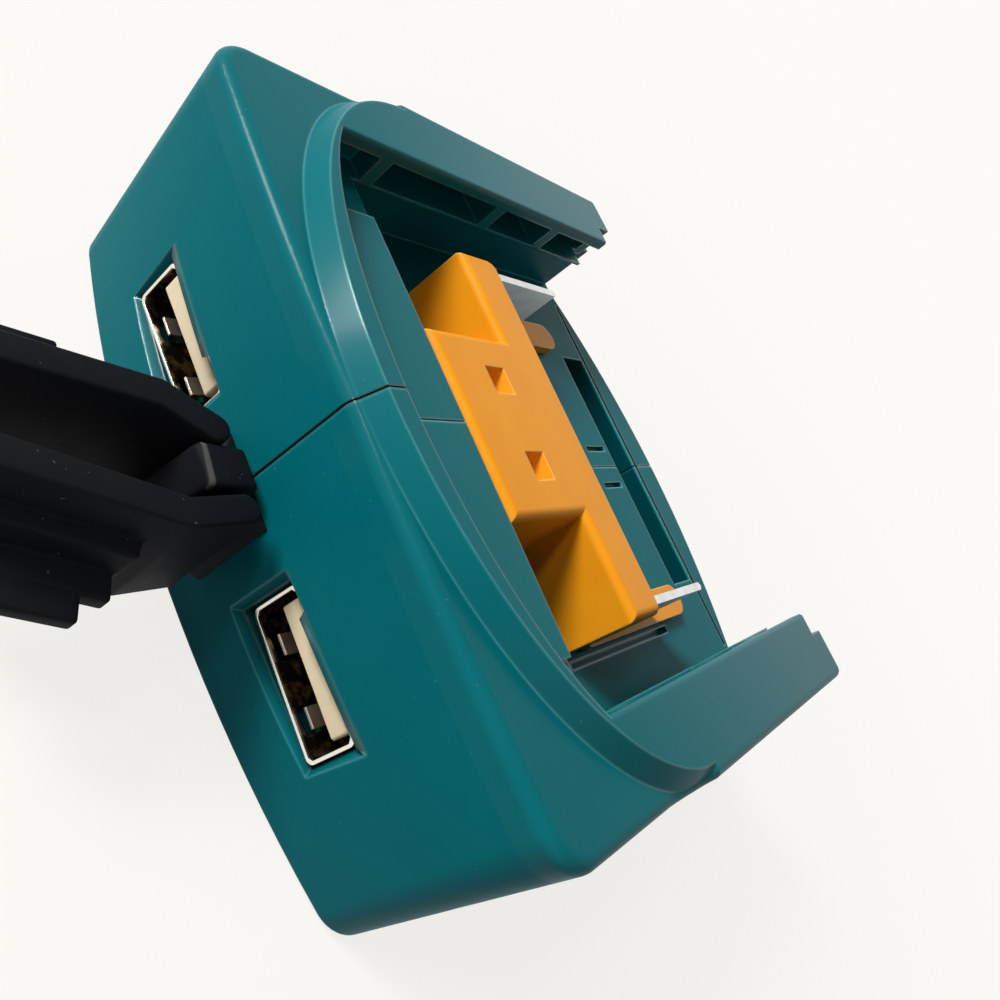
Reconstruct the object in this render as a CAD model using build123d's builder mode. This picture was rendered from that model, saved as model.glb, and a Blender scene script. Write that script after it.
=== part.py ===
from build123d import *
import math
import os

os.makedirs("parts", exist_ok=True)

# Slide-on adapter that turns a power tool battery into a supply with two USB-A ports.
# X is the width, Y runs from the port face (-Y) to the open end of the rails (+Y),
# Z rises from the closed back, on which the adapter lies, to the tops of the rails.
# The origin is the middle of the closed back. Sizes are in millimetres.

# Housing
housing_width = 70.8
housing_length = 75.2
shoulder_height = 27.1
rim_rise = 1.9
wall = 2.2
floor_thickness = 1.7
seam_gap = 0.14
face_bow_base = 140.0
face_bow_top = 400.0
back_bow_radius = 90.0
front_corner_radius = 4.0
back_corner_radius = 6.0
base_edge_chamfer = 0.9
outer_edge_radius = 1.1
back_edge_chamfer = 0.8

# Mouth that slides over the battery's rails
rail_width = 8.5
lip_thickness = 5.2
side_wall = 4.4
floor_height = 15.8
ledge_drop = 4.1
ledge_depth = 16.5
lip_length = 65.4
nose_length = 62.4
nose_step = 2.7
side_wall_length = 69.4
lip_edge_radius = 0.4

# Arched rim around the front of the mouth
rim_depth = 23.4
rim_setback = 0.6
rim_flank = 1.3
rim_inner_setback = 4.0
rim_inner_depth = 15.5
rim_inner_margin = 3.4
shoulder_flat_end = 17.8

# Cored recesses in the lips
core_from_face = 12.2
core_1_length = 5.4
core_2_length = 18.2
core_3_length = 10.2
core_4_length = 12.2
core_rib = 1.8
core_height = 3.2
core_depth = 5.5
core_1_depth = 2.6
core_skin = 1.4

# Latch slot, groove and slits in the floor
latch_width = 34.8
latch_length = 5.6
latch_depth = 4.6
latch_from_face = 63.0
latch_wall = 1.4
groove_width = 0.6
groove_depth = 0.7
groove_overrun = 0.1
groove_from_face = 69.3
slit_width = 0.7
slit_length = 5.0
slit_from_face = 59.5
slit_spacing = 5.4

# USB-A ports
port_spacing = 30.3
port_height = 11.1
port_setback = 1.5
port_chamfer = 0.8
port_clearance = 0.2
shell_width = 13.1
shell_height = 5.7
shell_length = 14.0
shell_corner = 0.7
shell_wall = 0.3
spring_spacing = 6.2
spring_width = 1.8
spring_lift = 0.75
spring_length = 5.6
spring_from_front = 0.6
spring_pad = 1.8
window_margin = 0.3
tongue_setback = 0.9
tongue_width = 11.1
tongue_thickness = 1.84
tongue_lift = 0.38
socket_back = 5.4
tongue_corner = 0.5
outer_contact_x = 3.5
inner_contact_x = 1.0
contact_setback = 0.8
contact_width = 1.0
contact_thickness = 0.25

# Terminal block
bar_width = 42.0
bar_front = 29.3
bar_depth = 5.7
block_rise = 9.5
deck_width = 19.6
deck_gap = 0.3
rear_step_drop = 1.8
rear_step_depth = 3.5
rear_step_left = 13.0
rear_step_right = 18.0
foot_inset = 0.25
foot_width = 3.9
foot_rise = 1.2
foot_end = 60.0
foot_overlap = 1.0
block_edge_radius = 0.9
bar_corner_chamfer = 1.3
pocket_width = 3.0
pocket_length = 3.2
pocket_depth = 2.6
pocket_spacing = 9.3
pocket_from_face = 24.9
pocket_floor_width = 0.9
pocket_floor_length = 1.1
root_width = 34.0
root_depth = 3.0
root_flange = 0.6
root_flange_height = 1.2
moat_width = 0.8
moat_depth = 0.8
moat_from_block = 0.9
moat_start = 31.0
moat_end = 55.0
fit_gap = 0.1

# Terminal blades
blade_spacing = 39.2
blade_thickness = 0.9
blade_start = 35.3
blade_end = 49.4
blade_rise = 8.6
blade_leg_start = 38.0
blade_leg_width = 4.0
blade_lead_in = 0.35

# Circuit board and what it carries
board_thickness = 1.6
board_margin = 5.4
board_start = 4.7
board_end = 60.0
board_corner = 4.0
post_width = 4.6
board_screw_inset = 4.0
front_board_screw_from_face = 21.0
back_board_screw_from_face = 55.0
board_screw_diameter = 2.2
board_screw_length = 4.4
board_screw_head = 4.0
board_screw_head_height = 1.4
capacitor_diameter = 5.0
capacitor_height = 7.0
capacitor_spacing = 7.0
capacitor_from_face = 11.8
inductor_size = 12.0
inductor_height = 4.8
inductor_corner = 1.5
inductor_from_face = 49.0
chip_length = 4.9
chip_width = 3.9
chip_height = 1.5
chip_standoff = 0.1
chip_legs_per_side = 4
chip_leg_pitch = 1.27
chip_leg_reach = 1.0
chip_leg_width = 0.4
chip_x = 13.0
chip_from_face = 26.0
diode_length = 4.6
diode_width = 2.6
diode_height = 2.2
diode_from_face = 39.0

# Case screws, which run across the seam
front_screw_from_face = 9.5
front_screw_height = 18.3
back_screw_from_face = 66.0
back_screw_height = 5.4
case_screw_diameter = 2.2
case_screw_head = 3.6
case_screw_head_height = 1.6
case_screw_grip = 3.0
case_screw_length = 12.0
boss_width = 5.6
hole_clearance = 0.2

# Rubber cover
cover_width = 12.0
cover_height = 11.0
cover_thickness = 2.4
cover_length = 19.15
cover_corner = 2.5
cover_gap = 0.3
hinge_half_spacing = 3.4
hinge_reach = 3.3
neck_run = 4.35
left_lean = 14.0
right_lean = 22.0
plug_width = 11.2
plug_height = 5.2
plug_reach = 1.4
plug_taper = 6.0
prong_width = 9.8
prong_height = 1.5
prong_reach = 2.3
anchor_height = 9.7
stem_width = 2.0
stem_height = 6.0
anchor_flange = 1.2
root_base = 4.4
root_shoulder = 1.8
root_edge_radius = 0.6

# Places that follow from the sizes
half_width = housing_width / 2
face_y = -housing_length / 2
back_y = housing_length / 2
rail_top = shoulder_height + rim_rise
ledge_height = rail_top - ledge_drop
lip_underside = rail_top - lip_thickness
floor_underside = floor_height - floor_thickness
lip_x = half_width - rail_width
rail_gap = 2 * lip_x
undercut_x = half_width - side_wall
rim_inner_half_width = half_width - rim_inner_margin
board_half_width = half_width - board_margin
port_x = port_spacing / 2
bar_end = bar_front + bar_depth
block_top = floor_height + block_rise
root_middle = bar_front + bar_depth / 2
blade_x = blade_spacing / 2
blade_top = floor_height + blade_rise
foot_x = blade_x - foot_inset
foot_start = bar_end - foot_overlap
leg_middle = blade_leg_start + blade_leg_width / 2
moat_x = bar_width / 2 + moat_from_block + moat_width / 2
board_top = port_height - shell_height / 2
board_underside = board_top - board_thickness
past = 5.0  # how far cutting shapes run past the housing
tiny = 0.01


def behind_face(distance):
    """Y position at this distance behind the middle of the port face."""
    return face_y + distance


def bow(radius, half_chord):
    """Depth of an arc of this radius over half its chord."""
    return radius - math.sqrt(radius**2 - half_chord**2)


def save(piece, name):
    """Names a finished piece and writes it."""
    piece.part.label = name
    export_step(piece.part, f"parts/{name}.step")


# bow and slope of the face at the ports' height, between those of its base and its top edge
base_bow_at_port = bow(face_bow_base, port_x)
top_bow_at_port = bow(face_bow_top, port_x)
port_bow = base_bow_at_port + (top_bow_at_port - base_bow_at_port) * port_height / shoulder_height
port_slope = 2 * port_bow / port_x

# places of the board's screws from above, and of the case screws from the side
board_screw_x = board_half_width - board_screw_inset
board_screw_points = [
    (-board_screw_x, behind_face(back_board_screw_from_face)),
    (board_screw_x, behind_face(front_board_screw_from_face)),
]
screw_points = [
    (behind_face(front_screw_from_face), front_screw_height),
    (behind_face(back_screw_from_face), back_screw_height),
]
core_lengths = (core_1_length, core_2_length, core_3_length, core_4_length)
core_depths = (core_1_depth, core_depth, core_depth, core_depth)

# Plan of the housing at its base, seen from above
with BuildSketch() as plan:
    with BuildLine():
        side_front = behind_face(bow(face_bow_base, half_width))
        side_back = back_y - bow(back_bow_radius, half_width)
        ThreePointArc((-half_width, side_front), (0, face_y), (half_width, side_front))
        Line((half_width, side_front), (half_width, side_back))
        ThreePointArc((half_width, side_back), (0, back_y), (-half_width, side_back))
        Line((-half_width, side_back), (-half_width, side_front))
    make_face()
    fillet(plan.vertices().group_by(Axis.Y)[-1], back_corner_radius)

# Space in front of the face, which is bowed at its base and flattens towards its top edge
with BuildPart() as front_cut:
    for height, radius in ((0, face_bow_base), (shoulder_height, face_bow_top)):
        with BuildSketch(Plane.XY.offset(height)):
            with BuildLine():
                cut_x = half_width + past
                cut_side = behind_face(bow(radius, cut_x))
                ThreePointArc((-cut_x, cut_side), (0, face_y), (cut_x, cut_side))
                cut_y = face_y - past
                Polyline((cut_x, cut_side), (cut_x, cut_y), (-cut_x, cut_y), (-cut_x, cut_side))
            make_face()
    loft(ruled=True)

# Everything above the shoulder and outside the arched rim, with the rim's sloping flank
rim_centre = behind_face(rim_setback + rim_depth)
with BuildPart() as shoulder_cut:
    with BuildSketch(Plane.YZ.offset(-half_width - past)):
        with BuildLine():
            sweep_start = (behind_face(shoulder_flat_end), shoulder_height)
            sweep_end = (rim_centre, rail_top)
            Line((face_y - past, shoulder_height), sweep_start)
            TangentArc(sweep_start, sweep_end, tangent=(1, 0))
            Polyline(
                sweep_end,
                (rim_centre, rail_top + past),
                (face_y - past, rail_top + past),
                (face_y - past, shoulder_height),
            )
        make_face()
    extrude(amount=housing_width + 2 * past)
    for height in (shoulder_height - past, rail_top + past):
        inward = (height - shoulder_height) * rim_flank / rim_rise
        with BuildSketch(Plane.XY.offset(height)):
            with Locations((0, rim_centre)):
                Ellipse(half_width - inward, rim_depth - inward)
    loft(mode=Mode.SUBTRACT)

# Opening in front of and between the rails, down to the ledge
with BuildSketch() as mouth_plan:
    with Locations((0, behind_face(rim_inner_setback + rim_inner_depth))):
        Ellipse(rim_inner_half_width, rim_inner_depth)
        Rectangle(2 * rim_inner_half_width, housing_length, align=(Align.CENTER, Align.MIN))
    Rectangle(rail_gap, 2 * housing_length, mode=Mode.INTERSECT)

# Space inside the housing, less the latch slot's walls, the screw bosses and the board's posts
with BuildPart() as cavity:
    with BuildSketch(Plane.XY.offset(wall)):
        add(plan.sketch)
        offset(amount=-wall, mode=Mode.REPLACE)
    extrude(amount=floor_underside - wall)
    with BuildSketch(Plane.XY.offset(floor_underside)):
        add(plan.sketch)
        offset(amount=-wall, mode=Mode.REPLACE)
        with Locations((0, behind_face(ledge_depth - floor_thickness))):
            Rectangle(housing_width, 2 * housing_length, align=(Align.CENTER, Align.MAX), mode=Mode.INTERSECT)
    extrude(amount=ledge_height - floor_thickness - floor_underside)
    with BuildSketch(Plane.XY.offset(floor_height - latch_depth - latch_wall)):
        with Locations((0, behind_face(latch_from_face + latch_length / 2))):
            Rectangle(latch_width + 2 * latch_wall, latch_length + 2 * latch_wall)
    extrude(until=Until.LAST, mode=Mode.SUBTRACT)
    with BuildSketch(Plane.YZ.offset(-half_width)):
        with Locations(*screw_points):
            Rectangle(boss_width, boss_width)
    extrude(amount=housing_width, mode=Mode.SUBTRACT)
    with BuildSketch(Plane.XY.offset(wall)):
        with Locations(*board_screw_points):
            Rectangle(post_width, post_width)
    extrude(amount=board_underside - wall, mode=Mode.SUBTRACT)

with BuildPart() as housing:
    # the floor's slab with its chamfered back edge, then all that stands in front of it with its bowed face
    with BuildSketch():
        add(plan.sketch)
        Rectangle(housing_width, housing_length / 2, align=(Align.CENTER, Align.MAX))
    extrude(amount=floor_height)
    slab_edges = housing.edges().group_by(Axis.Z)[-1].filter_by(GeomType.CIRCLE)
    chamfer(slab_edges.filter_by(lambda e: e.center().Y > 0), back_edge_chamfer)
    with BuildSketch():
        with Locations((0, face_y)):
            Rectangle(housing_width, side_wall_length, align=(Align.CENTER, Align.MIN))
    extrude(amount=rail_top)
    add(front_cut.part, mode=Mode.SUBTRACT)
    side_edges = housing.edges().filter_by(lambda e: abs(e.center().X) > half_width - tiny)
    upright_edges = side_edges.filter_by(lambda e: tiny < e.center().Z < shoulder_height - tiny)
    fillet(upright_edges.sort_by(Axis.Y)[:2], front_corner_radius)
    chamfer(housing.edges().group_by(Axis.Z)[0], base_edge_chamfer)
    add(shoulder_cut.part, mode=Mode.SUBTRACT)
    with BuildSketch(Plane.XY.offset(ledge_height)):
        add(mouth_plan.sketch)
    extrude(amount=ledge_drop + past, mode=Mode.SUBTRACT)
    # the deep part of the mouth, with its undercuts below the lips
    with BuildSketch(Plane.XY.offset(floor_height)):
        with Locations((0, behind_face(ledge_depth))):
            Rectangle(2 * undercut_x, housing_length, align=(Align.CENTER, Align.MIN))
    extrude(amount=lip_underside - floor_height, mode=Mode.SUBTRACT)
    with BuildSketch(Plane.XY.offset(lip_underside)):
        with Locations((0, behind_face(ledge_depth))):
            Rectangle(rail_gap, housing_length, align=(Align.CENTER, Align.MIN))
    extrude(amount=rail_top - lip_underside, mode=Mode.SUBTRACT)
    # lips end short of the side walls, with a stepped nose on their inner side
    with BuildSketch(Plane.XY.offset(lip_underside)):
        with Locations((0, behind_face(lip_length))):
            Rectangle(housing_width + past, housing_length, align=(Align.CENTER, Align.MIN))
        with Locations((0, behind_face(nose_length))):
            Rectangle(rail_gap + 2 * nose_step, housing_length, align=(Align.CENTER, Align.MIN))
    extrude(amount=lip_thickness + past, mode=Mode.SUBTRACT)
    # rounded outer edge of the face and the rails, in one sweep, then the inner edges of the lips
    shoulder_edges = housing.edges().filter_by(lambda e: abs(e.center().Z - shoulder_height) < tiny)
    face_edges = shoulder_edges.sort_by(Axis.Y)[:1]
    corner_edges = shoulder_edges.filter_by(lambda e: abs(e.center().X) > half_width - front_corner_radius)
    corner_edges = corner_edges.filter_by(lambda e: e.center().Y < behind_face(shoulder_flat_end) - tiny)
    side_edges = housing.edges().filter_by(lambda e: abs(e.center().X) > half_width - tiny)
    sweep_edges = side_edges.filter_by(lambda e: shoulder_height + tiny < e.center().Z < rail_top - tiny)
    lengthwise = housing.edges().filter_by(Axis.Y).filter_by(lambda e: e.center().Z > lip_underside - tiny)
    rail_edges = lengthwise.filter_by(lambda e: abs(e.center().X) > half_width - tiny)
    fillet(face_edges + corner_edges + sweep_edges + rail_edges, outer_edge_radius)
    lengthwise = housing.edges().filter_by(Axis.Y).filter_by(lambda e: e.center().Z > lip_underside - tiny)
    fillet(lengthwise.filter_by(lambda e: abs(abs(e.center().X) - lip_x) < tiny), lip_edge_radius)
    # cored recesses in the lips' inner faces, parted by thin ribs
    for side in (-1, 1):
        start = behind_face(core_from_face)
        for length, depth in zip(core_lengths, core_depths):
            with BuildSketch(Plane.YZ.offset(side * (lip_x - past))):
                with Locations((start + length / 2, rail_top - core_skin - core_height / 2)):
                    Rectangle(length, core_height)
            extrude(amount=side * (past + depth), mode=Mode.SUBTRACT)
            start += length + core_rib
    # latch slot, groove and slits in the floor
    with BuildSketch(Plane.XY.offset(floor_height - latch_depth)):
        with Locations((0, behind_face(latch_from_face + latch_length / 2))):
            Rectangle(latch_width, latch_length)
    extrude(amount=latch_depth + past, mode=Mode.SUBTRACT)
    with BuildSketch(Plane.XY.offset(floor_height - groove_depth)):
        with Locations((0, behind_face(groove_from_face))):
            Rectangle(rail_gap + 2 * groove_overrun, groove_width)
        with Locations((0, behind_face(slit_from_face))):
            with GridLocations(slit_spacing, 0, 2, 1):
                Rectangle(slit_width, slit_length)
    extrude(amount=groove_depth + past, mode=Mode.SUBTRACT)
    add(cavity.part, mode=Mode.SUBTRACT)
    # port cut-outs with their bevelled lead-in
    opening_width = shell_width + 2 * port_clearance
    opening_height = shell_height + 2 * port_clearance
    for side in (-1, 1):
        with BuildSketch(Plane.XZ.offset(-face_y)):
            with Locations((side * port_x, port_height)):
                Rectangle(opening_width, opening_height)
        extrude(amount=-wall - past, mode=Mode.SUBTRACT)
        along_face = (1, side * port_slope, 0)
        with Locations(Plane((side * port_x, behind_face(port_bow), port_height), along_face, (0, 0, 1))):
            Wedge(
                opening_width + 2 * port_chamfer,
                port_chamfer,
                opening_height + 2 * port_chamfer,
                port_chamfer,
                port_chamfer,
                port_chamfer + opening_width,
                port_chamfer + opening_height,
                align=(Align.CENTER, Align.MIN, Align.CENTER),
                mode=Mode.SUBTRACT,
            )
    # openings for the cover's stem, the terminal block's root and the blades' legs, and a moat by the block
    with BuildSketch(Plane.XZ.offset(-face_y)):
        with Locations((0, port_height)):
            Rectangle(stem_width + 2 * fit_gap, stem_height + 2 * fit_gap)
    extrude(amount=-wall - tiny, mode=Mode.SUBTRACT)
    with BuildSketch(Plane.XY.offset(floor_underside - past)):
        with Locations((0, behind_face(root_middle))):
            Rectangle(root_width + 2 * fit_gap, root_depth + 2 * fit_gap)
        for side in (-1, 1):
            with Locations((side * blade_x, behind_face(leg_middle))):
                Rectangle(blade_thickness + 2 * fit_gap, blade_leg_width + 2 * fit_gap)
    extrude(amount=floor_thickness + past, mode=Mode.SUBTRACT)
    with BuildSketch(Plane.XY.offset(floor_height - moat_depth)):
        for side in (-1, 1):
            with Locations((side * moat_x, behind_face((moat_start + moat_end) / 2))):
                Rectangle(moat_width, moat_end - moat_start)
    extrude(amount=moat_depth, mode=Mode.SUBTRACT)
    # the seam stands open all round, but the halves meet in the closed back
    with BuildSketch(Plane.XY.offset(wall / 2)):
        Rectangle(seam_gap, housing_length + 2 * past)
    extrude(amount=rail_top, mode=Mode.SUBTRACT)


def housing_half(side, name):
    """One half of the housing, with its holes for the case screws."""
    with BuildPart() as half:
        add(housing.part)
        split(bisect_by=Plane.YZ, keep=Keep.TOP if side > 0 else Keep.BOTTOM)
        if side > 0:
            with BuildSketch(Plane.YZ):
                with Locations(*screw_points):
                    Circle(case_screw_diameter / 2 + hole_clearance)
            extrude(amount=case_screw_grip + tiny, mode=Mode.SUBTRACT)
            with BuildSketch(Plane.YZ.offset(case_screw_grip)):
                with Locations(*screw_points):
                    Circle(case_screw_head / 2 + hole_clearance)
            extrude(amount=half_width, mode=Mode.SUBTRACT)
        else:
            with BuildSketch(Plane.YZ):
                with Locations(*screw_points):
                    Circle(case_screw_diameter / 2)
            extrude(amount=case_screw_grip - case_screw_length, mode=Mode.SUBTRACT)
        with BuildSketch(Plane.XY.offset(board_underside)):
            with Locations(*board_screw_points):
                Circle(board_screw_diameter / 2)
        extrude(amount=board_thickness - board_screw_length, mode=Mode.SUBTRACT)
    save(half, name)


housing_half(-1, "housing_left")
housing_half(1, "housing_right")

# Case screws, put in from the right side
with BuildPart() as case_screws:
    with BuildSketch(Plane.YZ.offset(case_screw_grip)):
        with Locations(*screw_points):
            Circle(case_screw_diameter / 2)
    extrude(amount=-case_screw_length)
    with BuildSketch(Plane.YZ.offset(case_screw_grip)):
        with Locations(*screw_points):
            Circle(case_screw_head / 2)
    extrude(amount=case_screw_head_height)
    with BuildSketch(Plane.YZ.offset(case_screw_grip + case_screw_head_height)):
        with Locations(*screw_points):
            RegularPolygon(case_screw_head / 4, 6)
    extrude(amount=-case_screw_head_height / 2, mode=Mode.SUBTRACT)
save(case_screws, "case_screws")

# Terminal block: a bar across the floor, a deck with two pockets, and a foot along each blade
with BuildPart() as terminal_block:
    with BuildSketch(Plane.XY.offset(floor_height)):
        with Locations((0, behind_face(bar_front))):
            Rectangle(bar_width, bar_depth, align=(Align.CENTER, Align.MIN))
        with Locations((0, behind_face(ledge_depth + deck_gap))):
            Rectangle(deck_width, bar_end - ledge_depth - deck_gap, align=(Align.CENTER, Align.MIN))
    extrude(amount=block_rise)
    bar_corners = terminal_block.edges().filter_by(Axis.Z).sort_by(Axis.Y)[-2:]
    chamfer(bar_corners.sort_by(Axis.X)[0], bar_corner_chamfer)
    # rounded front edges of the bar and the deck, and the deck's sides
    top_edges = terminal_block.edges().group_by(Axis.Z)[-1]
    cross_edges = top_edges.filter_by(Axis.X)
    front_edges = cross_edges.filter_by(lambda e: e.center().Y < behind_face(bar_end) - tiny)
    fillet(front_edges + top_edges.filter_by(Axis.Y), block_edge_radius)
    # lower step behind the bar
    with BuildSketch(Plane.XY.offset(floor_height)):
        with Locations(((rear_step_right - rear_step_left) / 2, behind_face(bar_end))):
            Rectangle(rear_step_left + rear_step_right, 2 * rear_step_depth)
    extrude(amount=block_rise - rear_step_drop)
    # tapered pockets in the deck
    pocket_width_margin = (pocket_width - pocket_floor_width) / 2
    pocket_length_margin = (pocket_length - pocket_floor_length) / 2
    for side in (-1, 1):
        pocket_place = (side * pocket_spacing / 2, behind_face(pocket_from_face), block_top)
        with Locations(Plane(pocket_place, (1, 0, 0), (0, 1, 0))):
            Wedge(
                pocket_width,
                pocket_depth,
                pocket_length,
                pocket_width_margin,
                pocket_length_margin,
                pocket_width - pocket_width_margin,
                pocket_length - pocket_length_margin,
                align=(Align.CENTER, Align.MIN, Align.CENTER),
                mode=Mode.SUBTRACT,
            )
    # feet beside the blades, rounded at their ends
    for side in (-1, 1):
        with BuildSketch(Plane.XY.offset(floor_height)):
            with Locations((side * foot_x, behind_face(foot_start))):
                foot_straight = foot_end - foot_start - foot_width / 2
                Rectangle(foot_width, foot_straight, align=(Align.CENTER, Align.MIN))
            with Locations((side * foot_x, behind_face(foot_end - foot_width / 2))):
                Circle(foot_width / 2)
        extrude(amount=foot_rise)
        with BuildSketch(Plane.XY.offset(floor_height)):
            with Locations((side * blade_x, behind_face((blade_start + blade_end) / 2))):
                Rectangle(blade_thickness + 2 * fit_gap, blade_end - blade_start + 2 * fit_gap)
        extrude(amount=block_rise, mode=Mode.SUBTRACT)
    # root through the floor, with a flange below it
    with BuildSketch(Plane.XY.offset(floor_underside - fit_gap)):
        with Locations((0, behind_face(root_middle))):
            Rectangle(root_width, root_depth)
    extrude(amount=floor_thickness + fit_gap)
    with BuildSketch(Plane.XY.offset(floor_underside - fit_gap)):
        with Locations((0, behind_face(root_middle))):
            Rectangle(root_width + 2 * root_flange, root_depth + 2 * root_flange)
    extrude(amount=-root_flange_height)
save(terminal_block, "terminal_block")


def blade(side, name):
    """Flat terminal standing on the board and rising through the floor beside the block."""
    with BuildPart() as piece:
        with BuildSketch(Plane.YZ.offset(side * blade_x - blade_thickness / 2)):
            with BuildLine():
                Polyline(
                    (behind_face(blade_start), floor_height),
                    (behind_face(blade_start), blade_top),
                    (behind_face(blade_end), blade_top),
                    (behind_face(blade_end), floor_height),
                    (behind_face(blade_leg_start + blade_leg_width), floor_height),
                    (behind_face(blade_leg_start + blade_leg_width), board_top),
                    (behind_face(blade_leg_start), board_top),
                    (behind_face(blade_leg_start), floor_height),
                    close=True,
                )
            make_face()
        extrude(amount=blade_thickness)
        rear = piece.faces().filter_by(Axis.Y).sort_by(Axis.Y)[-1]
        chamfer(rear.edges().filter_by(Axis.Z), blade_lead_in)
    save(piece, name)


blade(-1, "blade_left")
blade(1, "blade_right")


def port_front(side, depth=0.0):
    """Plane across a port, this deep behind the front edge of its shell, seen from outside."""
    origin = (side * port_x, behind_face(port_setback + depth), port_height)
    return Plane(origin=origin, x_dir=(1, 0, 0), z_dir=(0, -1, 0))


def port_shell(side, name):
    """Drawn metal shell of a port, with two springs in windows of its lower wall."""
    with BuildPart() as shell:
        with BuildSketch(port_front(side)):
            RectangleRounded(shell_width, shell_height, shell_corner)
        extrude(amount=-shell_length)
        with BuildSketch(port_front(side)) as bore:
            Rectangle(shell_width - 2 * shell_wall, shell_height - 2 * shell_wall)
            chamfer(bore.vertices(), shell_corner - shell_wall)
        extrude(amount=-shell_length, mode=Mode.SUBTRACT)
        shell_floor = port_height - shell_height / 2
        spring_start = behind_face(port_setback + spring_from_front)
        spring_end = spring_start + spring_length
        centres = [side * port_x + way * spring_spacing / 2 for way in (-1, 1)]
        with BuildSketch(Plane.XY.offset(shell_floor - tiny)):
            for x in centres:
                with Locations((x, (spring_start + spring_end) / 2)):
                    Rectangle(spring_width + 2 * window_margin, spring_length)
        extrude(amount=shell_wall + 2 * tiny, mode=Mode.SUBTRACT)
        for x in centres:
            with BuildSketch(Plane.YZ.offset(x - spring_width / 2)):
                lift = shell_floor + spring_lift
                with BuildLine():
                    Polyline(
                        (spring_end + tiny, shell_floor),
                        (spring_end + tiny, shell_floor + shell_wall),
                        (spring_start + window_margin + spring_pad, lift + shell_wall),
                        (spring_start + window_margin, lift + shell_wall),
                        (spring_start + window_margin, lift),
                        (spring_start + window_margin + spring_pad, lift),
                        close=True,
                    )
                make_face()
            extrude(amount=spring_width)
    save(shell, name)


def port_tongue(side, name):
    """Insulator that closes the back of a port and carries its contacts."""
    with BuildPart() as tongue:
        with BuildSketch(port_front(side, shell_length - socket_back)) as socket:
            Rectangle(shell_width - 2 * shell_wall - 2 * fit_gap, shell_height - 2 * shell_wall - 2 * fit_gap)
            chamfer(socket.vertices(), shell_corner - shell_wall)
        extrude(amount=-socket_back)
        with BuildSketch(port_front(side, tongue_setback)):
            with Locations((0, tongue_lift)):
                Rectangle(tongue_width, tongue_thickness, align=(Align.CENTER, Align.MIN))
        extrude(amount=-(shell_length - socket_back - tongue_setback))
        tip = tongue.faces().filter_by(Axis.Y).sort_by(Axis.Y)[0]
        fillet(tip.edges().filter_by(Axis.Z), tongue_corner)
    save(tongue, name)


def port_contacts(side, name):
    """Four contact strips under the tongue of a port."""
    with BuildPart() as contacts:
        with BuildSketch(port_front(side, tongue_setback + contact_setback)):
            for offset_x in (-outer_contact_x, -inner_contact_x, inner_contact_x, outer_contact_x):
                with Locations((offset_x, tongue_lift)):
                    Rectangle(contact_width, contact_thickness, align=(Align.CENTER, Align.MAX))
        extrude(amount=-(shell_length - socket_back - tongue_setback - contact_setback))
    save(contacts, name)


for side, word in ((-1, "left"), (1, "right")):
    port_shell(side, f"port_shell_{word}")
    port_tongue(side, f"port_tongue_{word}")
    port_contacts(side, f"port_contacts_{word}")

# Circuit board below the floor, on the housing's posts, with its front corners cut to the bowed face
with BuildPart() as circuit_board:
    with BuildSketch(Plane.XY.offset(board_underside)) as board_outline:
        with Locations((0, behind_face(board_start))):
            Rectangle(2 * board_half_width, board_end - board_start, align=(Align.CENTER, Align.MIN))
        chamfer(board_outline.vertices().group_by(Axis.Y)[0], board_corner)
    extrude(amount=board_thickness)
    with BuildSketch(Plane.XY.offset(board_underside)):
        with Locations(*board_screw_points):
            Circle(board_screw_diameter / 2 + fit_gap)
    extrude(amount=board_thickness, mode=Mode.SUBTRACT)
save(circuit_board, "circuit_board")

with BuildPart() as board_screws:
    with BuildSketch(Plane.XY.offset(board_top)):
        with Locations(*board_screw_points):
            Circle(board_screw_diameter / 2)
    extrude(amount=-board_screw_length)
    with BuildSketch(Plane.XY.offset(board_top)):
        with Locations(*board_screw_points):
            RegularPolygon(board_screw_head / 2, 6)
    extrude(amount=board_screw_head_height)
save(board_screws, "board_screws")

# Parts on the board: filter capacitors between the ports, the converter and the port controllers
with BuildPart() as capacitors:
    with BuildSketch(Plane.XY.offset(board_top)):
        for side in (-1, 1):
            with Locations((side * capacitor_spacing / 2, behind_face(capacitor_from_face))):
                Circle(capacitor_diameter / 2)
    extrude(amount=capacitor_height)
save(capacitors, "capacitors")

with BuildPart() as inductor:
    with BuildSketch(Plane.XY.offset(board_top)) as can:
        with Locations((0, behind_face(inductor_from_face))):
            Rectangle(inductor_size, inductor_size)
        chamfer(can.vertices(), inductor_corner)
    extrude(amount=inductor_height)
save(inductor, "inductor")


def chip(side, name):
    """Moulded chip with two rows of legs along its length."""
    place = (side * chip_x, behind_face(chip_from_face))
    with BuildPart() as body:
        with BuildSketch(Plane.XY.offset(board_top + chip_standoff)):
            with Locations(place):
                Rectangle(chip_length, chip_width)
        extrude(amount=chip_height)
        with BuildSketch(Plane.XY.offset(board_top)):
            with Locations(place):
                with GridLocations(chip_leg_pitch, chip_width + chip_leg_reach, chip_legs_per_side, 2):
                    Rectangle(chip_leg_width, chip_leg_reach)
        extrude(amount=chip_standoff + chip_height / 2)
    save(body, name)


chip(1, "converter_chip")
chip(-1, "port_controller")

with BuildPart() as diode:
    with BuildSketch(Plane.XY.offset(board_top)):
        with Locations((0, behind_face(diode_from_face))):
            Rectangle(diode_length, diode_width)
    extrude(amount=diode_height)
save(diode, "diode")

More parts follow.
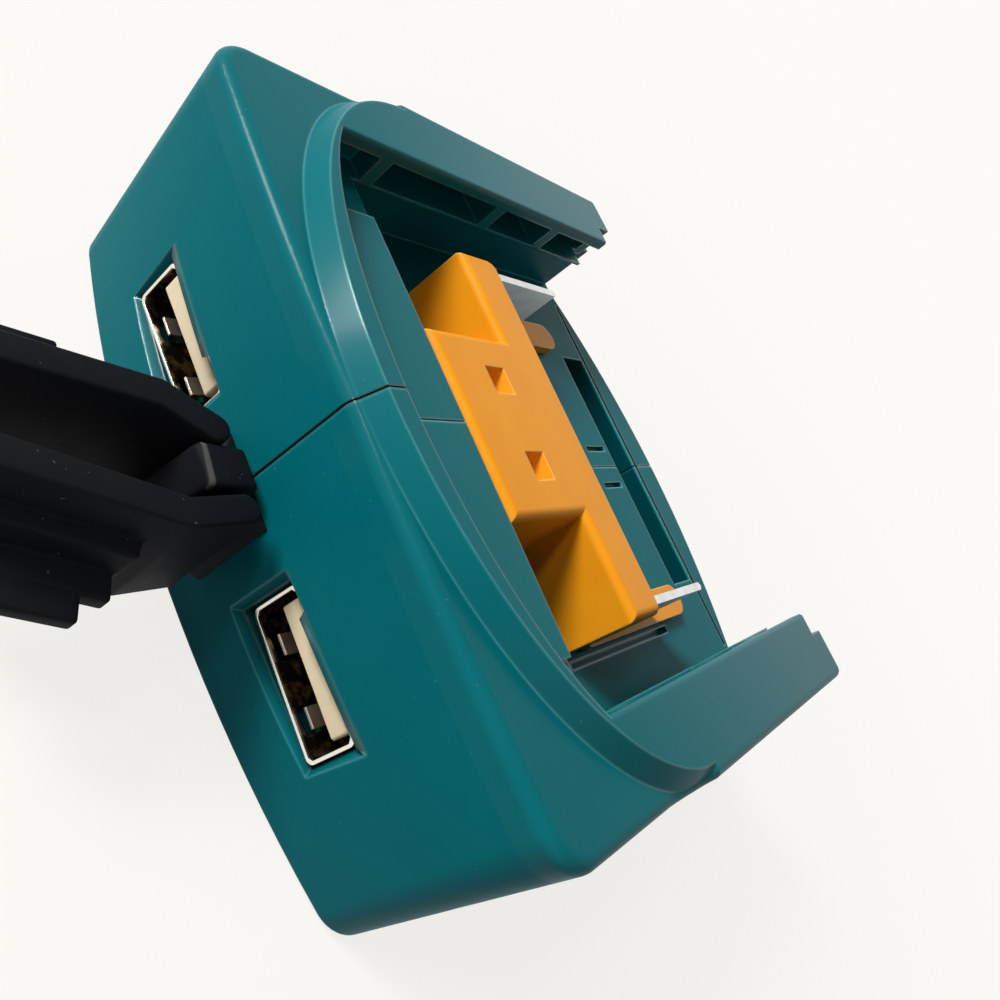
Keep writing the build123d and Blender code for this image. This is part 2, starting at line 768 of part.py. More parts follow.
# Rubber cover: a root held in the face between the ports, and a wing for each port
with BuildPart() as cover_root:
    root_side = hinge_half_spacing - cover_thickness / 2 - cover_gap
    with BuildSketch(Plane.XY.offset(cover_height - cover_width / 2)):
        with BuildLine():
            Polyline(
                (-root_base, face_y),
                (root_base, face_y),
                (root_side + cover_gap, behind_face(-root_shoulder)),
                (root_side, behind_face(-root_shoulder)),
                (root_side, behind_face(-hinge_reach)),
                (-root_side, behind_face(-hinge_reach)),
                (-root_side, behind_face(-root_shoulder)),
                (-root_side - cover_gap, behind_face(-root_shoulder)),
                close=True,
            )
        make_face()
    extrude(amount=anchor_height)
    front_top = cover_root.edges().filter_by(Axis.X).group_by(Axis.Z)[-1].sort_by(Axis.Y)[0]
    fillet(front_top, root_edge_radius)
    with BuildSketch(Plane.XZ.offset(-face_y)):
        with Locations((0, port_height)):
            Rectangle(stem_width, stem_height)
    extrude(amount=-wall - fit_gap)
    with BuildSketch(Plane.XZ.offset(-behind_face(wall + fit_gap))):
        with Locations((0, port_height)):
            Rectangle(stem_width + 2 * anchor_flange, stem_height + 2 * anchor_flange)
    extrude(amount=-anchor_flange)
save(cover_root, "cover_root")


def cover_wing(side, lean, name):
    """Wing that swings on the root, with the plug that closes its port, in its open position."""
    along = (-math.sin(math.radians(lean)), -math.cos(math.radians(lean)), 0)
    hinge = (side * hinge_half_spacing, behind_face(-hinge_reach), cover_height)
    wing_plane = Plane(origin=hinge, x_dir=along, z_dir=(0, 0, side))
    cap_line = hinge_reach - cover_gap - cover_thickness / 2
    cap_face = cap_line + cover_thickness / 2

    def cap_plane(reach, height):
        """Plane parallel to the cap, this far from the hinge's line, over the middle of the port."""
        middle = wing_plane.from_local_coords((port_x - hinge_half_spacing, reach, 0))
        return Plane(origin=(middle.X, middle.Y, height), x_dir=along, z_dir=wing_plane.y_dir)

    with BuildPart() as wing:
        with BuildSketch(wing_plane):
            with BuildLine():
                Polyline((0, 0), (neck_run, cap_line), (cover_length, cap_line))
                offset(amount=cover_thickness / 2)
            make_face()
        extrude(amount=cover_width / 2, both=True)
        with BuildSketch(cap_plane(cap_line, cover_height)):
            tip = cover_length + cover_thickness / 2 - port_x + hinge_half_spacing
            with Locations((tip, 0)):
                RectangleRounded(
                    2 * cover_length, cover_width, cover_corner, align=(Align.MAX, Align.CENTER)
                )
        extrude(amount=2 * cover_thickness, both=True, mode=Mode.INTERSECT)
        with BuildSketch(cap_plane(cap_face, port_height)):
            Rectangle(plug_width, plug_height)
        extrude(amount=plug_reach, taper=plug_taper)
        with BuildSketch(cap_plane(cap_face, port_height - prong_height / 2)):
            Rectangle(prong_width, prong_height)
        extrude(amount=plug_reach + prong_reach)
    save(wing, name)


cover_wing(-1, left_lean, "cover_wing_left")
cover_wing(1, right_lean, "cover_wing_right")
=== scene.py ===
import math

import bmesh
import bpy
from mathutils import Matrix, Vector


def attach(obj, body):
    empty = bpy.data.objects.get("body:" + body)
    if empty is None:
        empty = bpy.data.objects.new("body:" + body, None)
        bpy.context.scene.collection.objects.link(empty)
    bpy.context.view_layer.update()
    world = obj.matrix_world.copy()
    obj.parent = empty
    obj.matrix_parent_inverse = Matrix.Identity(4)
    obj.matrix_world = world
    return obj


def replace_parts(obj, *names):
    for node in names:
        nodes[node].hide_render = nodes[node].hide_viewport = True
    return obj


# Battery adapter with two charging ports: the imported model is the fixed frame, this dresses it
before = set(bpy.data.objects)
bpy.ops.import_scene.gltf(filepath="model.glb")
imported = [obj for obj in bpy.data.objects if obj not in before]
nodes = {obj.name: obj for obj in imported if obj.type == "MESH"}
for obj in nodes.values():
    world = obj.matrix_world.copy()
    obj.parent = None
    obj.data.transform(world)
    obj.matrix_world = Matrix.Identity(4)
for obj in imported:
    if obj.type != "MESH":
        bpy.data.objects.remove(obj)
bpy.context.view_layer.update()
mm = 0.001
print("frame loaded with", len(nodes), "nodes")

# Camera, placed and turned as the photograph was taken
cameraView = {
    "place": (0.02394, -0.08367, 0.0623),
    "turn": (40.713, -45.292, 56.577),  # degrees
    "lens": 31.67,
    "sensor": 36,
    "shift": (0.0445, -0.0094),
    "nearest": 0.005,
}


def addCamera(view):
    data = bpy.data.cameras.new("camera")
    data.lens = view["lens"]
    data.sensor_width = view["sensor"]
    data.shift_x, data.shift_y = view["shift"]
    data.clip_start = view["nearest"]
    camera = bpy.data.objects.new("camera", data)
    camera.location = view["place"]
    camera.rotation_euler = [math.radians(a) for a in view["turn"]]
    bpy.context.scene.collection.objects.link(camera)
    bpy.context.scene.camera = camera


addCamera(cameraView)
print("camera placed")


class Value:
    # a shader value: Python's operators on it add Math nodes
    def __init__(self, graph, socket):
        self.graph = graph
        self.socket = socket

    def maths(self, operation, *values):
        return self.graph.node("ShaderNodeMath", {"operation": operation}, dict(enumerate(values)))

    def __add__(self, other):
        return self.maths("ADD", self, other)

    def __sub__(self, other):
        return self.maths("SUBTRACT", self, other)

    def __rsub__(self, other):
        return self.maths("SUBTRACT", other, self)

    def __mul__(self, other):
        return self.maths("MULTIPLY", self, other)

    def __gt__(self, other):
        return self.maths("GREATER_THAN", self, other)

    def __lt__(self, other):
        return self.maths("LESS_THAN", self, other)

    def between(self, low, high):
        return (self > low) * (self < high)

    def size(self):
        return self.maths("ABSOLUTE", self)

    def inMm(self):
        return self * (1 / mm)

    __radd__ = __add__
    __rmul__ = __mul__


def paint(tone):
    # a colour's three numbers, with the alpha that its socket needs
    return tone if isinstance(tone, Value) else (*tone, 1)


class Graph:
    # a shader's node tree, whose nodes are made by one method
    def __init__(self, tree):
        self.tree = tree

    def join(self, value, socket):
        if isinstance(value, Value):
            self.tree.links.new(value.socket, socket)
        else:
            socket.default_value = value

    def node(self, kind, settings=None, links=None, out=0):
        made = self.tree.nodes.new(kind)
        for key, value in (settings or {}).items():
            if key == "stops":
                for element, (position, grey) in zip(made.color_ramp.elements, value):
                    element.position = position
                    element.color = (grey, grey, grey, 1)
            else:
                setattr(made, key, value)
        for key, value in (links or {}).items():
            self.join(value, made.inputs[key])
        return Value(self, made.outputs[out])

    def shownRays(self):
        # 1 for the rays that see the pale background: straight, mirrored or through glass
        seen = self.node("ShaderNodeLightPath", out="Is Camera Ray")
        for ray in ("Is Glossy Ray", "Is Transmission Ray"):
            seen = seen.maths("MAXIMUM", seen, self.node("ShaderNodeLightPath", out=ray))
        return seen

    def mixShader(self, factor, a, b, output):
        mixed = self.node("ShaderNodeMixShader", {}, {0: factor, 1: a, 2: b})
        self.join(mixed, self.tree.nodes[output].inputs["Surface"])


class Finish(Graph):
    # a material, whose shader's sockets are set by name
    def __init__(self, name):
        self.material = bpy.data.materials.new(name)
        self.material.use_nodes = True
        super().__init__(self.material.node_tree)
        self.shader = self.tree.nodes["Principled BSDF"]
        self.place = self.node("ShaderNodeTexCoord", out="Object")

    def set(self, **values):
        for key, value in values.items():
            self.join(value, self.shader.inputs[key.replace("_", " ")])

    def axes(self):
        split = "ShaderNodeSeparateXYZ"
        return [self.node(split, {}, {"Vector": self.place}, out=name) for name in "XYZ"]

    def zone(self, reach, alongs, ups):
        # 1 in a box that reaches as far to both sides, 0 outside it
        across, along, up = self.axes()
        return (across.size() < reach) * along.between(*alongs) * up.between(*ups)

    def noise(self, size, detail=3, roughness=0.5, stretch=None):
        links = {"Vector": self.place, "Scale": 1 / size, "Detail": detail, "Roughness": roughness}
        if stretch:
            mapping = {"Vector": self.place, "Scale": stretch}
            links["Vector"] = self.node("ShaderNodeMapping", {}, mapping)
        return self.node("ShaderNodeTexNoise", {}, links)

    def ramp(self, value, *stops):
        return self.node("ShaderNodeValToRGB", {"stops": stops}, {"Fac": value})

    def fade(self, value, start, end):
        # 1 up to the start, 0 from the end
        return self.ramp(value, (start, 1.0), (end, 0.0))

    def rise(self, value, start, end):
        # 0 up to the start, 1 from the end
        return self.ramp(value, (start, 0.0), (end, 1.0))

    def spots(self, size, detail, start, end):
        return self.rise(self.noise(size, detail), start, end)

    def mix(self, factor, a, b):
        links = {0: factor, 6: paint(a), 7: paint(b)}
        return self.node("ShaderNodeMix", {"data_type": "RGBA"}, links, out=2)

    def bump(self, height, strength, depth, normal=None):
        links = {"Height": height, "Strength": strength, "Distance": depth}
        if normal:
            links["Normal"] = normal
        return self.node("ShaderNodeBump", {}, links)

    def softEdges(self, radius):
        # the normal that a small rounding of this radius would give
        return self.node("ShaderNodeBevel", {"samples": 6}, {"Radius": radius})

    def edges(self, rounded, gain):
        # 1 along sharp edges, 0 on the flats
        normals = {0: rounded, 1: self.node("ShaderNodeNewGeometry", out="Normal")}
        dot = {"operation": "DOT_PRODUCT"}
        gone = (1 - self.node("ShaderNodeVectorMath", dot, normals, out="Value")) * gain
        return gone.maths("MINIMUM", gone, 1.0)


# Middle of each port, which finishes and pieces share
ports = {"aside": 15.15 * mm, "height": 11.1 * mm}

# Housing: moulded nylon with a fine spark-eroded grain
housingLook = {
    "tones": ((0.0, 0.118, 0.140), (0.001, 0.138, 0.158)),
    "patch": (9 * mm, 2),  # size, detail and roughness of a noise
    "grain": (0.16 * mm, 3, 0.6),
    "bump": (0.10, 0.03 * mm),  # strength and depth
    "rough": (0.36, 0.08, 0.06),  # least, with the patches, with the grain
    "shine": 0.04,
    "edgeRadius": 0.4 * mm,
    "edgeGain": 6,  # a higher one widens the band along the edges
    "edgeHighlightTone": (0.08, 0.42, 0.42),
    "edgeHighlightShare": (0.3, 0.4),  # least, with the patches
    "coat": (0.8, 0.08),  # along the edges, on the tops
    "coatAbove": 24 * mm,
    "coatRough": 0.16,
    "sheenAndWearTone": (0.13, 0.20, 0.22),
    "sheenAndWearShare": 0.35,
    "sheenAndWearAbove": 28.4 * mm,
    "sheenAndWearFrom": -25 * mm,
    "sheenAndWearOver": 62.5 * mm,  # length of the ramp
    "sheenAndWearFull": 0.7,  # where on the ramp the sheen and wear are full
    "speckTone": (0.25, 0.45, 0.45),
    "speckShare": 0.2,
    "specks": (0.35 * mm, 1, 0.79, 0.82),  # size, detail, start and end of the ramp
    "hollowShadeTone": (0.0, 0.008, 0.010),
    "hollowShades": (
        # share, reach to both sides, from and to along y, from and to in height
        (0.9, 22.6 * mm, (-35.4 * mm, 30 * mm), (1.2 * mm, 14.4 * mm)),  # between the halves
        (0.65, 17.7 * mm, (25.2 * mm, 31.3 * mm), (11 * mm, 15.5 * mm)),  # latch slot
        (0.8, 27 * mm, (31.3 * mm, 32.1 * mm), (14.9 * mm, 15.9 * mm)),  # groove behind it
    ),
    "paintedShadeTone": (0.0, 0.012, 0.015),
    "paintedShadeShare": 0.8,
    "bevelInside": (6.5 * mm, 2.8 * mm),  # half the width and height where the shade starts
    "bevelFade": (0.15, 0.75),  # mm
    "bevelBefore": -34 * mm,
    "seamFade": (0.10, 0.22),  # mm
    "seamBefore": -30 * mm,
}


def housingPlastic(look):
    finish = Finish("housing_plastic")
    rounded = finish.softEdges(look["edgeRadius"])
    edge = finish.edges(rounded, look["edgeGain"])
    broad = finish.noise(*look["patch"])
    grain = finish.noise(*look["grain"])
    across, along, up = finish.axes()
    base = finish.mix(broad, *look["tones"])
    # greyer on the rails' tops, more so towards their ends: a painted reflection of the pale
    # surroundings, and rubbing
    worn = finish.rise((along - look["sheenAndWearFrom"]) * (1 / look["sheenAndWearOver"]), 0.0, look["sheenAndWearFull"])
    worn = (up > look["sheenAndWearAbove"]) * worn * look["sheenAndWearShare"]
    base = finish.mix(worn, base, look["sheenAndWearTone"])
    # painted highlights along the edges, stronger in patches
    least, more = look["edgeHighlightShare"]
    base = finish.mix(edge * (least + broad * more), base, look["edgeHighlightTone"])
    base = finish.mix(finish.spots(*look["specks"]) * look["speckShare"], base, look["speckTone"])
    # painted shade in hollows that little light reaches
    for share, *box in look["hollowShades"]:
        base = finish.mix(finish.zone(*box) * share, base, look["hollowShadeTone"])
    # painted shade in the bevels round the ports
    halfWidth, halfHeight = look["bevelInside"]
    beside = (across.size() - ports["aside"]).size() - halfWidth
    above = (up - ports["height"]).size() - halfHeight
    shade = finish.fade(beside.maths("MAXIMUM", beside, above).inMm(), *look["bevelFade"])
    shade = shade * (along < look["bevelBefore"]) * look["paintedShadeShare"]
    base = finish.mix(shade, base, look["paintedShadeTone"])
    # painted shade along the seam down the front
    seam = finish.fade(across.size().inMm(), *look["seamFade"]) * (along < look["seamBefore"])
    base = finish.mix(seam * look["paintedShadeShare"], base, look["paintedShadeTone"])
    rough, patchRough, grainRough = look["rough"]
    rough = rough + broad * patchRough + grain * grainRough
    edgeCoat, topCoat = look["coat"]
    coat = edge * edgeCoat + (up > look["coatAbove"]) * topCoat
    finish.set(Base_Color=base, Roughness=rough, Specular_IOR_Level=look["shine"])
    finish.set(Coat_Weight=coat, Coat_Roughness=look["coatRough"])
    finish.set(Normal=finish.bump(grain, *look["bump"], rounded))
    return finish.material


# Terminal block: glossier moulded plastic, with painted highlights along its rounded edges
blockLook = {
    "tones": ((0.82, 0.28, 0.006), (0.90, 0.35, 0.012)),
    "patch": (6 * mm, 2),
    "grain": (0.25 * mm, 2),
    "bump": (0.06, 0.03 * mm),
    "rough": (0.34, 0.08),
    "shine": 0.1,
    "edgeRadius": 0.25 * mm,
    "edgeGain": 5,
    "edgeHighlightTone": (1.0, 0.62, 0.16),
    "edgeHighlightShare": 0.7,
    "edgeCoat": 0.6,
    "coatRough": 0.15,
}


def blockPlastic(look):
    finish = Finish("block_plastic")
    rounded = finish.softEdges(look["edgeRadius"])
    edge = finish.edges(rounded, look["edgeGain"])
    broad = finish.noise(*look["patch"])
    grain = finish.noise(*look["grain"])
    base = finish.mix(broad, *look["tones"])
    # painted highlights along the edges
    base = finish.mix(edge * look["edgeHighlightShare"], base, look["edgeHighlightTone"])
    rough, patchRough = look["rough"]
    rough = rough + broad * patchRough
    finish.set(Base_Color=base, Roughness=rough, Specular_IOR_Level=look["shine"])
    finish.set(Coat_Weight=edge * look["edgeCoat"], Coat_Roughness=look["coatRough"])
    finish.set(Normal=finish.bump(grain, *look["bump"], rounded))
    return finish.material


# Plated metals, with fine rolling marks and a little tarnish
metalLook = {
    "edgeRadius": 0.08 * mm,
    "marks": (0.5 * mm, 4, 0.6),  # size, detail and roughness of the noise
    "marksRough": 0.12,
    "bump": (0.08, 0.02 * mm),
    "tarnish": (2.2 * mm, 3, 0.45, 0.75),
    "tarnishTint": 0.55,
    "tarnishRough": 0.1,
}
metals = {
    # tint, roughness, stretch of the marks, share of the tarnish
    "blade_metal": ((0.62, 0.63, 0.64), 0.42, (1, 0.15, 1), 0.3),
    "contact_metal": ((0.95, 0.70, 0.34), 0.18, (1, 0.2, 1), 0.3),
    "capacitor_can": ((0.82, 0.82, 0.83), 0.25, (1, 1, 0.2), 0.2),
    "screw_steel": ((0.60, 0.60, 0.61), 0.28, (1, 1, 1), 0.3),
}


def metal(look, name, tint, rough, brushing, worn):
    finish = Finish(name)
    rounded = finish.softEdges(look["edgeRadius"])
    marks = finish.noise(*look["marks"], brushing)
    tarnish = finish.spots(*look["tarnish"])
    base = finish.mix(tarnish * worn, tint, [c * look["tarnishTint"] for c in tint])
    rough = rough + marks * look["marksRough"] + tarnish * look["tarnishRough"]
    finish.set(Base_Color=base, Metallic=1.0, Roughness=rough)
    finish.set(Normal=finish.bump(marks, *look["bump"], rounded))
    return finish.material


# Port shells: drawn steel, pale on the lip, rougher deep in the port with painted shade and
# painted brown glints there, and painted a mid grey on the springs
shellLook = {
    "edgeRadius": 0.1 * mm,
    "marks": (0.5 * mm, 4, 0.6, (1, 0.2, 1)),
    "bump": (0.08, 0.02 * mm),
    "rough": (0.16, 0.14, 0.14),  # least, with the marks, deep inside
    "lipTone": (0.93, 0.88, 0.78),
    "lipEnd": -36.1 * mm,
    "lipRise": (0.02, 0.3),  # mm
    "shadeAndGlintTones": ((0.030, 0.022, 0.018), (0.30, 0.19, 0.08)),
    "glints": (0.9 * mm, 3, 0.50, 0.66),
    "springTone": (0.60, 0.55, 0.50),
    "springHeight": (8.75 * mm, 10 * mm),
    "springReach": 4.6 * mm,
}


def shellMetal(look):
    finish = Finish("port_metal")
    rounded = finish.softEdges(look["edgeRadius"])
    marks = finish.noise(*look["marks"])
    across, along, up = finish.axes()
    # painted shade deep in the port, with painted brown glints
    inside = finish.rise((along - look["lipEnd"]).inMm(), *look["lipRise"])
    shadeAndGlints = finish.mix(finish.spots(*look["glints"]), *look["shadeAndGlintTones"])
    base = finish.mix(inside, look["lipTone"], shadeAndGlints)
    # the springs are painted a mid grey, with less painted shade than the walls around them
    spring = (across.size() - ports["aside"]).size() < look["springReach"]
    spring = spring * up.between(*look["springHeight"])
    base = finish.mix(spring, base, look["springTone"])
    rough, marksRough, deepRough = look["rough"]
    rough = rough + marks * marksRough + inside * deepRough
    finish.set(Base_Color=base, Metallic=1.0, Roughness=rough)
    finish.set(Normal=finish.bump(marks, *look["bump"], rounded))
    return finish.material


# Tongues in the ports: cream plastic
tongueLook = {
    "tones": ((0.72, 0.59, 0.38), (0.80, 0.67, 0.45)),
    "patch": (1.5 * mm, 3),
    "grain": (0.2 * mm, 3),
    "bump": (0.08, 0.02 * mm),
    "rough": (0.42, 0.15),
    "edgeRadius": 0.08 * mm,
}


def tonguePlastic(look):
    finish = Finish("tongue_plastic")
    rounded = finish.softEdges(look["edgeRadius"])
    broad = finish.noise(*look["patch"])
    grain = finish.noise(*look["grain"])
    rough, patchRough = look["rough"]
    finish.set(Base_Color=finish.mix(broad, *look["tones"]), Roughness=rough + broad * patchRough)
    finish.set(Normal=finish.bump(grain, *look["bump"], rounded))
    return finish.material


# Port cover: black rubber, with painted highlights along its edges and ridge, and dust caught on
# it
rubberLook = {
    "tones": ((0.003, 0.004, 0.006), (0.008, 0.009, 0.011)),
    "patch": (3 * mm, 4, 0.6),
    "grain": (0.2 * mm, 3, 0.6),
    "bump": (0.25, 0.05 * mm),
    "rough": (0.52, 0.16),
    "shine": 0.07,
    "edgeRadius": 0.3 * mm,
    "edgeGain": 2.5,
    "edgeHighlightTone": (0.045, 0.047, 0.052),
    "dustTone": (0.35, 0.35, 0.36),
    "dustShare": 0.25,
    "dust": (0.4 * mm, 1, 0.77, 0.80),
    "ridgeHighlightTone": (0.10, 0.10, 0.09),
    "ridgeShare": (0.4, 0.6),  # least, with the patches
    "ridgeAt": -42.6 * mm,
    "ridgeLean": 0.1,
    "ridgeFade": (0.12, 0.26),  # mm
    "ridgeAbove": 15.6 * mm,
    "ridgeAcross": (-2.4 * mm, 1.3 * mm),
}


def coverRubber(look):
    finish = Finish("cover_rubber")
    rounded = finish.softEdges(look["edgeRadius"])
    edge = finish.edges(rounded, look["edgeGain"])
    broad = finish.noise(*look["patch"])
    grain = finish.noise(*look["grain"])
    base = finish.mix(broad, *look["tones"])
    # painted highlights along the edges, stronger in patches
    base = finish.mix(edge * broad, base, look["edgeHighlightTone"])
    base = finish.mix(finish.spots(*look["dust"]) * look["dustShare"], base, look["dustTone"])
    # the pale line along the web's ridge: a painted highlight
    across, along, up = finish.axes()
    beside = (along + across * look["ridgeLean"] - look["ridgeAt"]).size()
    ridge = finish.fade(beside.inMm(), *look["ridgeFade"])
    ridge = ridge * (up > look["ridgeAbove"]) * across.between(*look["ridgeAcross"])
    least, more = look["ridgeShare"]
    base = finish.mix(ridge * (least + broad * more), base, look["ridgeHighlightTone"])
    rough, patchRough = look["rough"]
    rough = rough + broad * patchRough
    finish.set(Base_Color=base, Roughness=rough, Specular_IOR_Level=look["shine"])
    finish.set(Normal=finish.bump(grain, *look["bump"], rounded))
    return finish.material


# Moulded or coated parts inside, whose colour drifts a little
plainLook = {
    "driftRough": 0.12,
    "grainShare": 0.2,
    "bump": (0.08, 0.02 * mm),
}
plains = {
    # tones, roughness, size of the drift, coat
    "board_laminate": (((0.004, 0.045, 0.020), (0.006, 0.065, 0.028)), 0.35, 2 * mm, 0.2),
    "part_black": (((0.012, 0.012, 0.013), (0.02, 0.02, 0.022)), 0.45, 1.5 * mm, 0.0),
}


def plain(look, name, tones, rough, size, coat):
    finish = Finish(name)
    drift = finish.noise(size)
    grain = finish.noise(size * look["grainShare"])
    finish.set(Base_Color=finish.mix(drift, *tones), Roughness=rough + drift * look["driftRough"])
    finish.set(Coat_Weight=coat, Normal=finish.bump(grain, *look["bump"]))
    return finish.material


finishes = {
    "housing_plastic": housingPlastic(housingLook),
    "block_plastic": blockPlastic(blockLook),
    "port_metal": shellMetal(shellLook),
    "tongue_plastic": tonguePlastic(tongueLook),
    "cover_rubber": coverRubber(rubberLook),
}
for name, values in metals.items():
    finishes[name] = metal(metalLook, name, *values)
for name, values in plains.items():
    finishes[name] = plain(plainLook, name, *values)
print("finishes made:", len(finishes))

# The finish of every CAD node
dressing = {
    "housing_plastic": ("housing_left", "housing_right"),
    "block_plastic": ("terminal_block",),
    "blade_metal": ("blade_left", "blade_right"),
    "port_metal": ("port_shell_left", "port_shell_right"),
    "tongue_plastic": ("port_tongue_left", "port_tongue_right"),
    "contact_metal": ("port_contacts_left", "port_contacts_right"),
    "cover_rubber": ("cover_root", "cover_wing_left", "cover_wing_right"),
    "board_laminate": ("circuit_board",),
    "screw_steel": ("board_screws", "case_screws"),
    "capacitor_can": ("capacitors",),
    "part_black": ("inductor", "converter_chip", "port_controller", "diode"),
}
for slot, names in dressing.items():
    for name in names:
        mesh = nodes[name].data
        mesh.materials.clear()
        mesh.materials.append(finishes[slot])
print("frame dressed")

# Rubber cover: soft copies of its solids, the web between the wings, the prongs' bendable ends
cover = {
    "rounding": 0.55 * mm,
    "steps": 3,
    "sharpAngle": 25,  # degrees
    "flatAngle": 2,  # degrees
    "mergeWithin": 0.002 * mm,
    "webTop": 16.6 * mm,
    "webBottom": 5.4 * mm,
    "webBack": -38.6 * mm,
    "webRidge": -42.9 * mm,
    "webFoot": -44.6 * mm,
    "webHalfWidth": 1.9 * mm,
    "webFootHalfWidth": 1.65 * mm,
    "webLean": 0.15,
    "hinge": (3.4 * mm, -40.9 * mm),  # aside and along
    "lean": {-1: 14, 1: 22},  # degrees, for the left and the right wing
    "prong": (
        # nearest and furthest along the wing, out of it and in height
        (8.9 * mm, 16.3 * mm),
        (6.2 * mm, 8.7 * mm),
        (9.65 * mm, 11.05 * mm),
    ),
    "prongRounding": 0.3 * mm,
}
sideName = {-1: "left", 1: "right"}
creaseAngle = 40  # degrees, from which an edge of a new piece is shaded sharp


def bevelEdges(work, edges, radius, steps):
    bmesh.ops.bevel(
        work,
        geom=edges,
        offset=radius,
        segments=steps,
        profile=0.5,
        affect="EDGES",
        clamp_overlap=True,
        material=-1,
    )


def roundEdges(work, radius, sizes):
    # rounds every edge that is sharper than the sharp angle
    least = math.radians(sizes["sharpAngle"])
    sharp = [edge for edge in work.edges if edge.is_manifold and edge.calc_face_angle() > least]
    bevelEdges(work, sharp, radius, sizes["steps"])


def startBlock():
    work = bmesh.new()
    bmesh.ops.create_cube(work, size=1)
    return work


def finished(work, name, slot, body):
    mesh = bpy.data.meshes.new(name)
    work.to_mesh(mesh)
    work.free()
    mesh.materials.append(finishes[slot])
    for face in mesh.polygons:
        face.use_smooth = True
    mesh.set_sharp_from_angle(angle=math.radians(creaseAngle))
    made = bpy.data.objects.new(name, mesh)
    bpy.context.scene.collection.objects.link(made)
    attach(made, body)
    return made


def softCopy(name, body, sizes):
    work = bmesh.new()
    work.from_mesh(nodes[name].data)
    work.transform(nodes[name].matrix_world)
    bmesh.ops.remove_doubles(work, verts=work.verts, dist=sizes["mergeWithin"])
    flat = math.radians(sizes["flatAngle"])
    bmesh.ops.dissolve_limit(work, angle_limit=flat, verts=work.verts, edges=work.edges)
    roundEdges(work, sizes["rounding"], sizes)
    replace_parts(finished(work, "soft_" + name, "cover_rubber", body), name)


def addWeb(sizes):
    # the rubber between the necks, with the ridge where its top meets the slope towards the wings
    work = startBlock()
    for corner in work.verts:
        top, front = corner.co.z > 0, corner.co.y < 0
        y = (sizes["webRidge"] if top else sizes["webFoot"]) if front else sizes["webBack"]
        half = sizes["webFootHalfWidth"] if front and not top else sizes["webHalfWidth"]
        x = corner.co.x * 2 * half + (y - sizes["webBack"]) * sizes["webLean"]
        corner.co = (x, y, sizes["webTop"] if top else sizes["webBottom"])
    roundEdges(work, sizes["rounding"], sizes)
    finished(work, "cover_web", "cover_rubber", "adapter")


def addProngTip(side, sizes):
    # the bendable end of a plug's prong, longer than the stiff part that the frame carries
    lean = math.radians(sizes["lean"][side])
    along = Vector((-math.sin(lean), -math.cos(lean), 0))
    out = Vector((math.cos(lean), -math.sin(lean), 0)) * side
    start = Vector((side * sizes["hinge"][0], sizes["hinge"][1], 0))
    work = startBlock()
    for corner in work.verts:
        u, v, z = (ends[part > 0] for ends, part in zip(sizes["prong"], corner.co))
        corner.co = start + along * u + out * v + Vector((0, 0, z))
    bmesh.ops.recalc_face_normals(work, faces=work.faces)
    roundEdges(work, sizes["prongRounding"], sizes)
    name = sideName[side]
    finished(work, "prong_tip_" + name, "cover_rubber", "wing_" + name)


# Moulded front of each port's tongue, which reaches almost to the shell's mouth
tongue = {
    "place": (ports["aside"], -35.5 * mm, 12.4 * mm),
    "size": (11.1 * mm, 0.8 * mm, 1.84 * mm),
    "rounding": 0.3 * mm,
    "steps": 4,
}


def addTongueTip(side, sizes):
    work = startBlock()
    x, y, z = sizes["place"]
    bmesh.ops.scale(work, vec=sizes["size"], verts=work.verts)
    bmesh.ops.translate(work, vec=(side * x, y, z), verts=work.verts)
    upright = []
    for edge in work.edges:
        a, b = (vert.co for vert in edge.verts)
        if abs(a.z - b.z) > mm and max(a.y, b.y) < y:
            upright.append(edge)
    bevelEdges(work, upright, sizes["rounding"], sizes["steps"])
    finished(work, "tongue_tip_" + sideName[side], "tongue_plastic", "adapter")


softCopy("cover_root", "adapter", cover)
for name in sideName.values():
    softCopy("cover_wing_" + name, "wing_" + name, cover)
addWeb(cover)
for side in sideName:
    addProngTip(side, cover)
    addTongueTip(side, tongue)
print("rubber cover and tongue tips made")

# Floor, pale backdrop and lamps
studio = {
    "floorSize": 30.0,
    "floorColour": (0.90, 0.89, 0.87),
    "floorRough": 0.9,
    "backdrop": (0.982, 0.965, 0.93),
    "shadowReach": 0.12,
    "shadowShare": 0.22,
    "worldColour": (1, 1, 1),
    "worldStrength": 0.06,
    "bouncedColour": (0.34, 0.36, 0.38),
    "aim": (0, 0, 0.01),
    "lamps": {
        # place, side, power
        "key": ((-0.40, -0.365, 0.345), 0.18, 4.7),
        "edges": ((-0.19, -0.37, 0.47), 0.07, 0.5),
        "back": ((-0.15, 0.50, 0.34), 0.45, 0.32),
        "fill": ((0.45, -0.25, 0.25), 0.35, 0.3),
    },
}


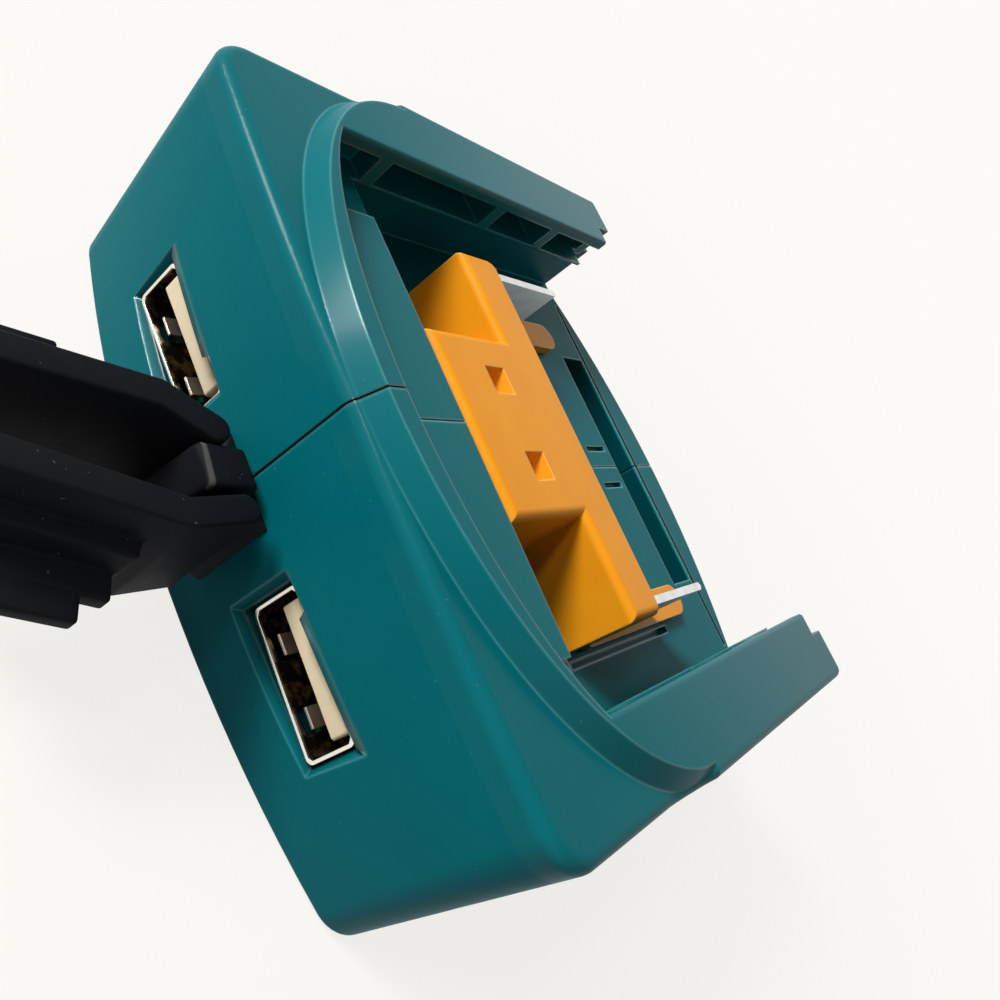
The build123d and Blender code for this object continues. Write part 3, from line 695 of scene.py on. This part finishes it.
def addFloor(sizes):
    work = bmesh.new()
    bmesh.ops.create_grid(work, x_segments=1, y_segments=1, size=sizes["floorSize"] / 2)
    mesh = bpy.data.meshes.new("floor")
    work.to_mesh(mesh)
    work.free()
    floor = bpy.data.objects.new("floor", mesh)
    bpy.context.scene.collection.objects.link(floor)
    finish = Finish("floor_paper")
    seen = finish.shownRays()
    finish.set(Base_Color=finish.mix(seen, sizes["bouncedColour"], sizes["floorColour"]))
    finish.set(Roughness=sizes["floorRough"])
    paper = Value(finish, finish.shader.outputs[0])
    glowing = {"Color": paint(sizes["backdrop"]), "Strength": 1.0}
    glow = finish.node("ShaderNodeEmission", {}, glowing)
    # the paper shows through the glow near the object, so that its shadow does
    distance = {"operation": "LENGTH"}
    away = finish.node("ShaderNodeVectorMath", distance, {0: finish.place}, out="Value")
    faded = away * (-1 / sizes["shadowReach"])
    near = faded.maths("EXPONENT", faded)
    factor = seen * (1 - near * sizes["shadowShare"])
    finish.mixShader(factor, paper, glow, "Material Output")
    mesh.materials.append(finish.material)


def addWorld(sizes):
    world = bpy.data.worlds.new("studio")
    world.use_nodes = True
    bpy.context.scene.world = world
    graph = Graph(world.node_tree)
    lighting = graph.tree.nodes["Background"]
    graph.join(paint(sizes["worldColour"]), lighting.inputs["Color"])
    graph.join(sizes["worldStrength"], lighting.inputs["Strength"])
    light = Value(graph, lighting.outputs[0])
    shown = graph.node("ShaderNodeBackground", {}, {"Color": paint(sizes["backdrop"])})
    graph.mixShader(graph.shownRays(), light, shown, "World Output")


def addLamp(name, place, target, side, power):
    data = bpy.data.lights.new(name, "AREA")
    data.size = side
    data.energy = power
    lamp = bpy.data.objects.new(name, data)
    lamp.location = place
    lamp.rotation_euler = (Vector(target) - Vector(place)).to_track_quat("-Z", "Y").to_euler()
    bpy.context.scene.collection.objects.link(lamp)


addFloor(studio)
addWorld(studio)
for name, (place, side, power) in studio["lamps"].items():
    addLamp(name, place, studio["aim"], side, power)
bpy.context.scene.view_settings.view_transform = "Standard"
print("studio lit")
